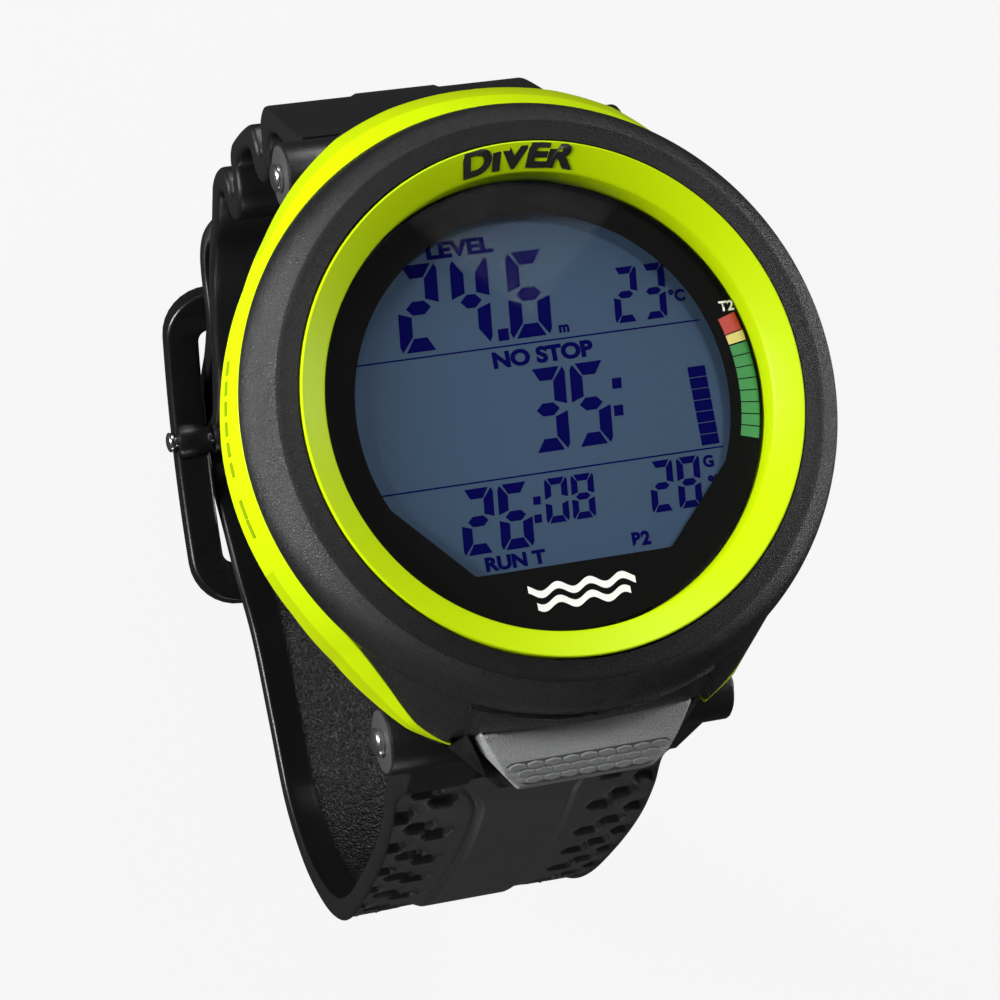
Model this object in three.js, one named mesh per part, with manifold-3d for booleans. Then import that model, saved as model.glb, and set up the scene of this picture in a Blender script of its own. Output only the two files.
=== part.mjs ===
// Wrist-worn dive computer: a round sealed case on a rubber strap that is closed in its buckle.
// Millimetres. The case frame has +Z out of the dial, +Y to 12 o'clock, +X to 3 o'clock and z = 0 on the case back.
// The exported group moves it so that the origin is the centre of the lens's outer face.
import * as THREE from "three";
import { mergeVertices } from "three/addons/utils/BufferGeometryUtils.js";
import Module from "manifold-3d";

const wasm = await Module();
wasm.setup();

// ---------------------------------------------------------------- driving dimensions
const GAP = 0.3; // between pieces that touch
const ROUND = 48; // facets of a large circle
const SMALL_ROUND = 16; // facets of a screw, pin or chip

const CASE_TOP = 27.5; // case back to the front of the dial ring
const RING_OUTER = 30; // lime dial ring
const RING_INNER = 26.75;
const RING_DROP = 2.02; // its cone falls this much towards the lens
const BEZEL_OUTER = 35.86;
const BEZEL_BOTTOM = 21.1;
const SHELL_TOP = BEZEL_BOTTOM - GAP;
const SHELL_RADIUS = 34.7;
const CAVITY_RADIUS = 24.2;
const LENS_TOP = 25.2;
const LENS_THICK = 2.6;
const LENS_RADIUS = RING_INNER - 0.4;

const BACK_RADIUS = 29.5;
const BACK_THICK = 2.3;
const BACK_SCREW_CIRCLE = 27;
const BATTERY = { y: 5.5, radius: 12.25, bottom: 3.35, thick: 5 }; // a 2450 cell
const COVER_FLANGE = 13.6;
const COVER_PLUG = 11.9;
const SENSOR = { x: -11, y: -14, radius: 4 };

const LUG = { y: 34.3, z: 3.9, radius: 4.2, pin: 1.3, centre: 9, end: 21.5 };
const TRIM_BOTTOM = 13.6;
const TRIM_TIP_ANGLE = 66.5; // below the 3 and 9 o'clock line

const BUTTON = { z: 11.8, top: 16.2, bottom: 9.6, back: -35.6, front: -42.8, wide: 13, narrow: 8.2, travel: 1.2 };

const STRAP_LUG_HALF = 17.5; // half widths of the strap
const STRAP_END_HALF = 15.2;
const STRAP_THICK = 2.5;
const BELLOWS_THICK = 3.4;

// The buckle frame is a curved plate; its places are angles, in degrees from straight down, about this centre.
const ARC = { y: -3.1, z: -18.1, inner: 71.6, outer: 75, from: -2.2, to: 34.1 };
const BUCKLE_HALF = 20.6;
const WINDOW_HALF = 15.9;
const PIN_ANGLE = 17;
const PIN_PATH = 72.3;
const BUCKLE_PIN = 0.9;
const STRAP_EYE = 2.4;
const TONGUE_HALF = 1.5;

// ---------------------------------------------------------------- materials
const material = (color, roughness, metalness = 0) => new THREE.MeshStandardMaterial({ color, roughness, metalness });
const finish = {
  shell: material(0x1c1d1f, 0.62),
  lime: material(0xd4f500, 0.32),
  rubber: material(0x151617, 0.7),
  button: material(0x7f8588, 0.5),
  glass: material(0x20262c, 0.05),
  mask: material(0x0d100f, 0.4),
  display: material(0x3f4e66, 0.25),
  diffuser: material(0xe6eaf0, 0.5),
  board: material(0x155c34, 0.5),
  chip: material(0x17181a, 0.45),
  steel: material(0xc9ccd0, 0.25, 1),
  seal: material(0x202021, 0.8),
  silicone: material(0xb8452f, 0.6),
  buckle: material(0x1a1b1c, 0.5),
};

// ---------------------------------------------------------------- shapes
// A closed geometry as a manifold-3d solid, turned the right way out.
function solid(geometry) {
  const bare = geometry.index ? geometry.toNonIndexed() : geometry;
  bare.deleteAttribute("normal");
  bare.deleteAttribute("uv");
  const merged = mergeVertices(bare, 1e-4);
  const vertProperties = new Float32Array(merged.attributes.position.array);
  const make = (triVerts) => new wasm.Manifold(new wasm.Mesh({ numProp: 3, vertProperties, triVerts }));
  const made = make(new Uint32Array(merged.index.array));
  return made.volume() >= 0 ? made : make(new Uint32Array(merged.index.array).reverse());
}

const box = (x0, x1, y0, y1, z0, z1) =>
  solid(new THREE.BoxGeometry(x1 - x0, y1 - y0, z1 - z0).translate((x0 + x1) / 2, (y0 + y1) / 2, (z0 + z1) / 2));

const disc = (radius, z0, z1, x = 0, y = 0, facets = ROUND) =>
  solid(
    new THREE.CylinderGeometry(radius, radius, z1 - z0, facets).rotateX(Math.PI / 2).translate(x, y, (z0 + z1) / 2),
  );

const rodX = (radius, x0, x1, y, z, facets = 24) =>
  solid(
    new THREE.CylinderGeometry(radius, radius, x1 - x0, facets).rotateZ(Math.PI / 2).translate((x0 + x1) / 2, y, z),
  );

const rodY = (radius, y0, y1, x, z, facets = SMALL_ROUND) =>
  solid(new THREE.CylinderGeometry(radius, radius, y1 - y0, facets).translate(x, (y0 + y1) / 2, z));

// A closed profile of [radius, z] points turned about the Z axis.
const turned = (profile, facets = ROUND) =>
  solid(
    new THREE.LatheGeometry(
      [...profile, profile[0]].map(([r, z]) => new THREE.Vector2(r, z)),
      facets,
    ).rotateX(Math.PI / 2),
  );

const torus = (radius, section, z, facets = 36) => solid(new THREE.TorusGeometry(radius, section, 8, facets).translate(0, 0, z));

const outline = (points) => new THREE.Shape(points.map(([a, b]) => new THREE.Vector2(a, b)));

// An outline in (x, y) pulled up along Z.
const prismZ = (points, z0, z1) =>
  solid(new THREE.ExtrudeGeometry(outline(points), { depth: z1 - z0, bevelEnabled: false }).translate(0, 0, z0));

// An outline in (y, z) pulled along X.
const AXES_YZX = new THREE.Matrix4().makeBasis(
  new THREE.Vector3(0, 1, 0),
  new THREE.Vector3(0, 0, 1),
  new THREE.Vector3(1, 0, 0),
);
const prismX = (points, half) =>
  solid(
    new THREE.ExtrudeGeometry(outline(points), { depth: 2 * half, bevelEnabled: false })
      .translate(0, 0, -half)
      .applyMatrix4(AXES_YZX),
  );

// A closed solid through rings of equally many [x, y, z] corners, flat at both ends.
function skin(rings) {
  const count = rings[0].length;
  const positions = rings.flat(2);
  const index = [];
  for (let i = 0; i + 1 < rings.length; i++)
    for (let j = 0; j < count; j++) {
      const a = i * count + j;
      const b = i * count + ((j + 1) % count);
      index.push(a, b, b + count, a, b + count, a + count);
    }
  const last = (rings.length - 1) * count;
  for (let j = 1; j + 1 < count; j++) index.push(0, j + 1, j, last, last + j, last + j + 1);
  const geometry = new THREE.BufferGeometry().setAttribute("position", new THREE.Float32BufferAttribute(positions, 3));
  geometry.setIndex(index);
  return solid(geometry);
}

// A strap: the spline through outer-face points in (y, z), with thickness and half width along it.
// side is +1 where the wrist lies to the right of the direction of travel, else -1.
function strap(points, steps, thickAt, halfAt, side) {
  const path = new THREE.SplineCurve(points.map(([y, z]) => new THREE.Vector2(y, z)));
  const rings = [];
  for (let i = 0; i <= steps; i++) {
    const u = i / steps;
    const p = path.getPointAt(u);
    const t = path.getTangentAt(u);
    const y = p.x + side * t.y * thickAt(u);
    const z = p.y - side * t.x * thickAt(u);
    const half = halfAt(u);
    rings.push([
      [-half, p.x, p.y],
      [half, p.x, p.y],
      [half, y, z],
      [-half, y, z],
    ]);
  }
  return skin(rings);
}

const radians = (degrees) => (degrees * Math.PI) / 180;
const mix = (a, b, u) => a + (b - a) * u;
const smooth = (a, b, v) => THREE.MathUtils.smoothstep(v, a, b);
const onArc = (degrees, radius) => [
  ARC.y + radius * Math.sin(radians(degrees)),
  ARC.z - radius * Math.cos(radians(degrees)),
];
const [PIN_Y, PIN_Z] = onArc(PIN_ANGLE, PIN_PATH);

const watch = new THREE.Group();
watch.position.z = -LENS_TOP;

function piece(name, shape, look) {
  const made = shape.getMesh();
  const geometry = new THREE.BufferGeometry();
  geometry.setAttribute("position", new THREE.BufferAttribute(new Float32Array(made.vertProperties), 3));
  geometry.setIndex(new THREE.BufferAttribute(new Uint32Array(made.triVerts), 1));
  const mesh = new THREE.Mesh(geometry, look);
  mesh.name = name;
  watch.add(mesh);
}

// ---------------------------------------------------------------- case
// The plan of the button and of its pocket: a trapezoid that narrows outwards.
const buttonPlan = (grow, back) => [
  [-BUTTON.wide - grow, back],
  [BUTTON.wide + grow, back],
  [BUTTON.wide + grow, -36],
  [BUTTON.narrow + grow, BUTTON.front - grow],
  [-BUTTON.narrow - grow, BUTTON.front - grow],
  [-BUTTON.wide - grow, -36],
];

function backScrewPlaces() {
  return [40, 140, 220, 320].map((angle) => [
    BACK_SCREW_CIRCLE * Math.cos(radians(angle)),
    BACK_SCREW_CIRCLE * Math.sin(radians(angle)),
  ]);
}

function caseShell() {
  const recess = BACK_THICK + GAP;
  let shell = turned([
    [CAVITY_RADIUS, recess],
    [BACK_RADIUS + GAP, recess],
    [BACK_RADIUS + GAP, 0.8],
    [31.2, 0.8],
    [33.2, 3],
    [SHELL_RADIUS, 9],
    [SHELL_RADIUS, SHELL_TOP],
    [CAVITY_RADIUS, SHELL_TOP],
  ]);
  const shelf = LUG.z + LUG.radius + 0.4; // the strap's knuckles turn below it
  for (const side of [-1, 1])
    for (const end of [-1, 1]) {
      const x = [side * LUG.centre, side * 23].sort((a, b) => a - b);
      const y = [end * 29.8, end * 46].sort((a, b) => a - b);
      shell = shell.subtract(box(x[0], x[1], y[0], y[1], -3, shelf));
    }
  const hood = prismZ([[-16.5, 28], [16.5, 28], [16, 36.5], [6, 38.9], [-6, 38.9], [-16, 36.5]], shelf, TRIM_BOTTOM - GAP);
  const ledge = prismZ([[-9.8, -42.2], [9.8, -42.2], [14.9, -36.6], [14.9, -28], [-14.9, -28], [-14.9, -36.6]], shelf, 9.3);
  const apron = disc(36.4, BUTTON.top + 0.2, SHELL_TOP).intersect(box(-14.9, 14.9, -40, -30, 10, 25));
  shell = shell.add(hood).add(ledge).add(apron);
  for (const end of [-1, 1]) {
    const knuckle = rodX(LUG.radius, -LUG.centre, LUG.centre, end * LUG.y, LUG.z);
    const bridge = box(-LUG.centre, LUG.centre, Math.min(end * 30.1, end * LUG.y), Math.max(end * 30.1, end * LUG.y), 0.4, shelf + 1);
    shell = shell.add(knuckle).add(bridge).subtract(rodX(LUG.pin + 0.2, -20, 20, end * LUG.y, LUG.z));
  }
  const inside = disc(CAVITY_RADIUS, recess - 2, SHELL_TOP + 1);
  shell = shell
    .subtract(inside)
    .subtract(prismZ(buttonPlan(0.5, -34), shelf + 0.7, BUTTON.top + 0.2))
    .subtract(rodY(1.7, -36, -20, 0, BUTTON.z))
    .subtract(rodY(2.9, -36, -30.4, 0, BUTTON.z))
    .subtract(rodY(2.7, -28.6, -27.4, 0, BUTTON.z))
    .subtract(turned([[24.7, recess - 1], [26.1, recess - 1], [26.1, 3.9], [24.7, 3.9]]));
  for (const [x, y] of backScrewPlaces()) shell = shell.subtract(disc(1.3, 1, 9.4, x, y, SMALL_ROUND));
  return shell;
}
piece("case_shell", caseShell(), finish.shell);

piece(
  "bezel_ring",
  turned([
    [RING_OUTER + GAP, BEZEL_BOTTOM],
    [BEZEL_OUTER, BEZEL_BOTTOM],
    [35.7, 22.5],
    [34.9, 24.7],
    [33.7, 26.1],
    [32.6, 26.6],
    [RING_OUTER + GAP, 27.1],
  ]),
  finish.shell,
);

piece(
  "dial_ring",
  turned([
    [RING_INNER, BEZEL_BOTTOM],
    [RING_OUTER, BEZEL_BOTTOM],
    [RING_OUTER, CASE_TOP],
    [RING_INNER, CASE_TOP - RING_DROP],
  ]),
  finish.lime,
);

// The trim band runs from tip to tip past 12 o'clock, and stands further out towards the four lugs.
function trimRing() {
  const rings = [];
  const steps = 96;
  for (let i = 0; i <= steps; i++) {
    const angle = mix(-180 + TRIM_TIP_ANGLE, -360 - TRIM_TIP_ANGLE, i / steps);
    const offLine = Math.abs((((angle + 450) % 180) + 180) % 180 - 90); // from the 3 to 9 o'clock line
    const below = Math.sin(radians(angle)) < 0;
    const tip = below ? smooth(TRIM_TIP_ANGLE - 24, TRIM_TIP_ANGLE, offLine) : 0;
    const outer = 36.6 + 2.9 * smooth(44, 62, offLine);
    const inner = mix(SHELL_RADIUS + GAP, outer - 0.8, tip);
    const top = mix(SHELL_TOP - 0.1, 14.2, tip);
    const at = (radius, z) => [radius * Math.cos(radians(angle)), radius * Math.sin(radians(angle)), z];
    const shoulder = mix(Math.min(17, top - 2), 13.6, tip);
    const bottom = mix(TRIM_BOTTOM, 12.4, tip);
    rings.push([at(inner, bottom), at(outer, bottom), at(outer, shoulder), at(Math.min(inner + 0.9, outer - 0.3), top), at(inner, top)]);
  }
  return skin(rings);
}
piece("trim_ring", trimRing(), finish.lime);

// ---------------------------------------------------------------- display stack
piece("lens", disc(LENS_RADIUS, LENS_TOP - LENS_THICK, LENS_TOP), finish.glass);
const GASKET_TOP = LENS_TOP - LENS_THICK - GAP;
piece(
  "lens_gasket",
  turned([
    [24.7, BEZEL_BOTTOM],
    [26.3, BEZEL_BOTTOM],
    [26.3, GASKET_TOP],
    [24.7, GASKET_TOP],
  ]),
  finish.seal,
);
// The window is round with a flat foot.
const WINDOW_RADIUS = 22.6;
const WINDOW_FOOT = -18.4;
const window_ = disc(WINDOW_RADIUS, 10, 30).intersect(box(-30, 30, WINDOW_FOOT, 30, 0, 40));
piece("dial_mask", disc(24.3, BEZEL_BOTTOM, 21.7).subtract(window_), finish.mask);
piece("lcd_panel", disc(23.6, 19, 20.5).intersect(box(-30, 30, WINDOW_FOOT - 1.4, 30, 0, 40)), finish.display);
piece("backlight", box(-17, 17, -13, 13, 17.4, 18.7), finish.diffuser);
piece("lcd_frame", turned([[22.4, 15.1], [23.9, 15.1], [23.9, 18.7], [22.4, 18.7]]), finish.chip);
piece("zebra_connector_upper", box(-14, 14, 13.8, 16.2, 15.1, 18.7), finish.silicone);
piece("zebra_connector_lower", box(-14, 14, -16.2, -13.8, 15.1, 18.7), finish.silicone);

// ---------------------------------------------------------------- electronics
const BOARD_BOTTOM = 13.4;
const clipNotch = box(-3.6, 3.6, -26, -21.6, BOARD_BOTTOM - 1, BOARD_BOTTOM + 3);
piece("circuit_board", disc(23.3, BOARD_BOTTOM, BOARD_BOTTOM + 1.4).subtract(clipNotch), finish.board);
const onBoard = (name, x, y, width, depth, height) => {
  const top = BOARD_BOTTOM - GAP;
  piece(name, box(x - width / 2, x + width / 2, y - depth / 2, y + depth / 2, top - height, top), finish.chip);
};
onBoard("processor_chip", 0, 6, 9, 9, 1.2);
onBoard("radio_module", -17, 3, 5, 8, 1.4);
onBoard("memory_chip", 17, 8, 4, 5, 1);
onBoard("button_switch", 0, -19.8, 5, 3, 3.4);
piece("quartz_crystal", rodY(1.2, -3, 3, 17, BOARD_BOTTOM - GAP - 1.2), finish.steel);
piece("pressure_sensor", disc(SENSOR.radius, BACK_THICK + GAP, BOARD_BOTTOM - GAP, SENSOR.x, SENSOR.y, 24), finish.steel);
piece("buzzer", disc(5.4, BACK_THICK + GAP, 4.2, 12, -13.5, 24), finish.steel);

const CUP_INNER = BATTERY.radius + 0.45;
const CUP_TOP = 10.3;
piece(
  "battery_housing",
  disc(CUP_INNER + 1.2, BACK_THICK + 2 * GAP, CUP_TOP, 0, BATTERY.y).subtract(
    disc(CUP_INNER, 0, CUP_TOP - 1, 0, BATTERY.y),
  ),
  finish.chip,
);
piece("battery", disc(BATTERY.radius, BATTERY.bottom, BATTERY.bottom + BATTERY.thick, 0, BATTERY.y), finish.steel);
piece("battery_contact_inner", disc(5, 8.55, 9.1, 0, BATTERY.y, 24), finish.steel);

// ---------------------------------------------------------------- case back
function caseBack() {
  let back = disc(BACK_RADIUS, 0, BACK_THICK)
    .subtract(disc(COVER_FLANGE + GAP, -1, 1.4, 0, BATTERY.y))
    .subtract(disc(COVER_PLUG + 1.2, -1, 4, 0, BATTERY.y));
  for (const [x, y] of backScrewPlaces())
    back = back.subtract(disc(1.3, -1, 4, x, y, SMALL_ROUND)).subtract(disc(2.2, -1, 1.5, x, y, SMALL_ROUND));
  for (let i = 0; i < 6; i++) {
    const x = SENSOR.x + 2.2 * Math.cos((i * Math.PI) / 3);
    const y = SENSOR.y + 2.2 * Math.sin((i * Math.PI) / 3);
    back = back.subtract(disc(0.6, -1, 4, x, y, 12));
  }
  return back;
}
piece("case_back", caseBack(), finish.shell);
piece("case_back_seal", torus(25.4, 0.55, 3.25, ROUND), finish.seal);
backScrewPlaces().forEach(([x, y], i) => {
  const head = disc(1.9, 0.2, 1.3, x, y, SMALL_ROUND).subtract(box(x - 1.4, x + 1.4, y - 0.25, y + 0.25, 0, 0.7));
  piece(`case_back_screw_${i + 1}`, head.add(disc(1, 1.2, 9, x, y, SMALL_ROUND)), finish.steel);
});

const coinSlot = box(-7.5, 7.5, BATTERY.y - 0.9, BATTERY.y + 0.9, -1, 0.8);
piece(
  "battery_cover",
  disc(COVER_FLANGE, 0.1, 1.1, 0, BATTERY.y).add(disc(COVER_PLUG, 1, 2.6, 0, BATTERY.y)).subtract(coinSlot),
  finish.shell,
);
piece("battery_cover_seal", torus(12.5, 0.35, 1.85).translate([0, BATTERY.y, 0]), finish.seal);
piece("battery_contact_outer", disc(6, 2.75, 3.15, 0, BATTERY.y, 24), finish.steel);

// ---------------------------------------------------------------- button
function buttonCap() {
  const side = prismX(
    [
      [BUTTON.back, BUTTON.bottom],
      [BUTTON.back, BUTTON.top - 0.3],
      [-36.4, BUTTON.top],
      [-39.4, 14.9],
      [BUTTON.front, 12.3],
      [BUTTON.front + 0.1, BUTTON.bottom],
    ],
    20,
  );
  return side.intersect(prismZ(buttonPlan(0, BUTTON.back), 0, 20));
}
piece("button", buttonCap(), finish.button);
piece("button_stem", rodY(1.4, -35.3, -22.9, 0, BUTTON.z), finish.steel);
const ringY = (outer, inner, y0, y1) => rodY(outer, y0, y1, 0, BUTTON.z).subtract(rodY(inner, y0 - 1, y1 + 1, 0, BUTTON.z));
piece("button_clip", ringY(2.9, 1.6, -23.9, -23.4), finish.steel);
piece("button_seal", ringY(2.5, 1.6, -28.4, -27.6), finish.seal);

class Helix extends THREE.Curve {
  constructor(radius, turns, from, to) {
    super();
    Object.assign(this, { radius, turns, from, to });
  }
  getPoint(u, target = new THREE.Vector3()) {
    const angle = 2 * Math.PI * this.turns * u;
    const y = mix(this.from, this.to, u);
    return target.set(this.radius * Math.cos(angle), y, BUTTON.z + this.radius * Math.sin(angle));
  }
}
const wire = new THREE.Shape().absarc(0, 0, 0.28, 0, 2 * Math.PI);
piece(
  "button_spring",
  solid(
    new THREE.ExtrudeGeometry(wire, {
      extrudePath: new Helix(2.2, 3.5, -35.1, -30.9),
      steps: 56,
      curveSegments: 3,
      bevelEnabled: false,
    }),
  ),
  finish.steel,
);

// ---------------------------------------------------------------- strap
// The two outer knuckles of a strap end, and the space that they leave for the case's own knuckle.
function withKnuckles(body, end) {
  const y = end * LUG.y;
  const knuckles = [-1, 1].map((side) => {
    const x = [side * (LUG.centre + GAP), side * LUG.end].sort((a, b) => a - b);
    return rodX(LUG.radius, x[0], x[1], y, LUG.z);
  });
  const gap = LUG.centre + GAP;
  return body
    .subtract(rodX(LUG.radius + 0.5, -gap, gap, y, LUG.z))
    .subtract(box(-gap, gap, Math.min(0, y), Math.max(0, y), -1.2, 12))
    .add(knuckles[0])
    .add(knuckles[1])
    .subtract(rodX(LUG.pin + 0.2, -30, 30, y, LUG.z));
}

const LOWER_FACE = [
  [-38.4, 2.4],
  [-38.9, -4.5],
  [-41.2, -10.5],
  [-44.5, -16],
  [-47.8, -23.5],
  [-51, -34.5],
  [-53.6, -47],
  [-53.6, -56.5],
  [-50.8, -65.3],
  [-45, -74],
  [-36, -80.3],
  [-24, -82.6],
  [-12, -84.4],
  onArc(0, 70),
  onArc(6, 73),
  onArc(11.5, 76.7),
  onArc(PIN_ANGLE, 78.2),
  onArc(22.5, 76.7),
  onArc(27.3, 72.1),
  onArc(31.8, 70.1),
  [39.7, -75.9],
  [44.6, -73.1],
  [47.2, -68.2],
];
const LOWER_STEPS = 84;
const SLOT_ANGLES = [-12, 9.8];

function lowerStrap() {
  const thickAt = (u) => mix(5.4, 3.1, smooth(0, 0.09, u)) - (3.1 - STRAP_THICK) * smooth(0.3, 0.6, u);
  const halfAt = (u) => mix(STRAP_LUG_HALF, STRAP_END_HALF, smooth(0.02, 0.6, u)) - 4 * smooth(0.965, 1, u);
  let body = withKnuckles(strap(LOWER_FACE, LOWER_STEPS, thickAt, halfAt, -1), -1);
  for (const angle of SLOT_ANGLES) {
    const ring = [];
    for (const [turn, radius] of [[-4.6, 60], [4.6, 60], [4.6, 90], [-4.6, 90]]) ring.push(onArc(angle + turn, radius));
    body = body.subtract(prismX(ring, TONGUE_HALF + 0.6));
  }
  return body;
}
piece("lower_strap", lowerStrap(), finish.rubber);

// The upper strap is one moulding; its bellows stretches, so it is three solids that follow one face.
const UPPER_LUG_FACE = [
  [38.4, 2.4],
  [41, -3.5],
  [45, -9],
  [47.6, -14],
  [46.4, -18.6],
];
const BELLOWS_FACE = [
  [46.2, -19.2],
  [45.9, -22.5],
  [48.6, -28],
  [49.5, -33],
  [46.8, -39.5],
  [46.6, -43],
  [48.6, -49],
  [47.4, -54.5],
];
const UPPER_END_FACE = [
  [47.1, -55.3],
  [46.7, -57],
  [45, -60],
  [42.4, -64.5],
  [38.4, -70.3],
  [33.6, -74.6],
  [27.2, -79.2],
  [21.4, -83.6],
  [PIN_Y + 1.2, PIN_Z + 1.6],
];
const bellowsThick = () => BELLOWS_THICK;
piece(
  "upper_strap_lug",
  withKnuckles(
    strap(UPPER_LUG_FACE, 12, (u) => mix(5.4, BELLOWS_THICK, smooth(0, 0.6, u)), () => STRAP_LUG_HALF, 1),
    1,
  ),
  finish.rubber,
);
piece("upper_strap_bellows", strap(BELLOWS_FACE, 24, bellowsThick, (u) => mix(STRAP_LUG_HALF, 16.4, u), 1), finish.rubber);

function upperStrapEnd() {
  const thickAt = (u) => mix(BELLOWS_THICK, STRAP_THICK, smooth(0, 0.3, u));
  const halfAt = (u) => mix(16.4, STRAP_END_HALF, smooth(0, 0.3, u));
  return strap(UPPER_END_FACE, 20, thickAt, halfAt, 1)
    .add(rodX(STRAP_EYE, -STRAP_END_HALF, STRAP_END_HALF, PIN_Y, PIN_Z))
    .subtract(rodX(BUCKLE_PIN + 0.2, -30, 30, PIN_Y, PIN_Z))
    .subtract(box(-TONGUE_HALF - 0.5, TONGUE_HALF + 0.5, PIN_Y - 6, PIN_Y + 3.4, PIN_Z - 5, PIN_Z + 3.2));
}
piece("upper_strap_end", upperStrapEnd(), finish.rubber);

// A pin with a domed head at both ends.
const rivet = (radius, head, half, y, z) =>
  rodX(radius, -half, half, y, z, SMALL_ROUND)
    .add(rodX(head, -half - 0.5, -half + 0.05, y, z, SMALL_ROUND))
    .add(rodX(head, half - 0.05, half + 0.5, y, z, SMALL_ROUND));
piece("upper_strap_pin", rivet(LUG.pin, 1.7, LUG.end + 0.2, LUG.y, LUG.z), finish.steel);
piece("lower_strap_pin", rivet(LUG.pin, 1.7, LUG.end + 0.2, -LUG.y, LUG.z), finish.steel);

// ---------------------------------------------------------------- buckle
const sector = (inner, outer, from, to, steps = 10) => {
  const points = [];
  for (let i = 0; i <= steps; i++) points.push(onArc(mix(from, to, i / steps), outer));
  for (let i = steps; i >= 0; i--) points.push(onArc(mix(from, to, i / steps), inner));
  return points;
};

function buckleFrame() {
  const corner = 6.5;
  const middle = (ARC.from + ARC.to) / 2;
  const halfLength = ARC.outer * Math.sin(radians((ARC.to - ARC.from) / 2));
  const plan = new THREE.Shape();
  const [w, h] = [BUCKLE_HALF, halfLength];
  plan.absarc(w - corner, h - corner, corner, 0, Math.PI / 2);
  plan.absarc(-w + corner, h - corner, corner, Math.PI / 2, Math.PI);
  plan.absarc(-w + corner, -h + corner, corner, Math.PI, 1.5 * Math.PI);
  plan.absarc(w - corner, -h + corner, corner, 1.5 * Math.PI, 2 * Math.PI);
  const [y, z] = onArc(middle, ARC.outer + 3);
  const block = solid(
    new THREE.ExtrudeGeometry(plan, { depth: 24, curveSegments: 6, bevelEnabled: false })
      .rotateX(radians(middle))
      .translate(0, y, z),
  );
  const bar = 3.8; // degrees of arc taken by the bars at the two ends
  return prismX(sector(ARC.inner, ARC.outer, ARC.from, ARC.to), BUCKLE_HALF)
    .intersect(block)
    .add(rodX(2.6, -BUCKLE_HALF + 0.2, BUCKLE_HALF - 0.2, PIN_Y, PIN_Z, SMALL_ROUND))
    .subtract(prismX(sector(60, 90, ARC.from + bar, ARC.to - bar), WINDOW_HALF))
    .subtract(rodX(BUCKLE_PIN + 0.2, -30, 30, PIN_Y, PIN_Z, SMALL_ROUND));
}
piece("buckle_frame", buckleFrame(), finish.buckle);
piece("buckle_pin", rivet(BUCKLE_PIN, 1.4, BUCKLE_HALF + GAP, PIN_Y, PIN_Z), finish.steel);

function tongue() {
  const face = [
    onArc(17.5, 74.3),
    onArc(14.5, 74.6),
    onArc(11.5, 75.4),
    onArc(8.5, 76.6),
    onArc(5.5, 77.3),
    onArc(2, 77.1),
    onArc(-1.8, 76.9),
  ];
  return strap(face, 14, () => 1.5, () => TONGUE_HALF, 1)
    .add(rodX(2.1, -TONGUE_HALF, TONGUE_HALF, PIN_Y, PIN_Z, SMALL_ROUND))
    .subtract(rodX(BUCKLE_PIN + 0.2, -30, 30, PIN_Y, PIN_Z, SMALL_ROUND));
}
piece("buckle_tongue", tongue(), finish.buckle);

const part = new THREE.Group();
part.add(watch);
export default part;
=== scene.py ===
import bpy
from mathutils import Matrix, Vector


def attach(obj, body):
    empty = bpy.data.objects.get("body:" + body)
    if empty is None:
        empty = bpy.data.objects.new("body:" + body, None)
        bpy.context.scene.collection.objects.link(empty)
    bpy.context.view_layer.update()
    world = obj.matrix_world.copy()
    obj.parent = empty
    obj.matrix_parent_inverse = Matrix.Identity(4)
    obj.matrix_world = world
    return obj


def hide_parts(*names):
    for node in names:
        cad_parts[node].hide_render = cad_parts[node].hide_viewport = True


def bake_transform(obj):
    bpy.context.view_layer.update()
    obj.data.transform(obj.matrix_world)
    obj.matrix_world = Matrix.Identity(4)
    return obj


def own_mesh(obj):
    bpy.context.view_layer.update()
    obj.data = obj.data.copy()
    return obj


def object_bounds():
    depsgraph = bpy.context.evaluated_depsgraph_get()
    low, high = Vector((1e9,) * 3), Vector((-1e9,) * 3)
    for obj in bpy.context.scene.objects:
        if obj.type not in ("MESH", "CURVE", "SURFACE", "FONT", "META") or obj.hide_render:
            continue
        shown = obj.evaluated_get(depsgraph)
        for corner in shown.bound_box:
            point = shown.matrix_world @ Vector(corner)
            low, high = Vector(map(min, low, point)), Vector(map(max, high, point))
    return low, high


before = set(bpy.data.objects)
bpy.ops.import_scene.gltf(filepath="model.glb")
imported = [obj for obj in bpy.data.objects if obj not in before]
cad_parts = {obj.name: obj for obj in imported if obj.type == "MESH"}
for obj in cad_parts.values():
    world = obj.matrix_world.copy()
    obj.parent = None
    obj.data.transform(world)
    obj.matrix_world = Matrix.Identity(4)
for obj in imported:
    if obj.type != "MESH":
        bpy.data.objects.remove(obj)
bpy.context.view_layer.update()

import math

import bmesh
import bpy
import numpy as np
from mathutils import Matrix, Vector

# Lengths are in millimetres in the case's own frame, whose z = 0 is the case back. The row frame's origin is on the lens.
MM = 0.001
LENS_TOP = 25.2
CASE_TOP = 27.5
random = np.random.default_rng(7)


def row(points):
    """Case-frame millimetres to row-frame metres."""
    return (np.asarray(points, float).reshape(-1, 3) - (0, 0, LENS_TOP)) * MM


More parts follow.
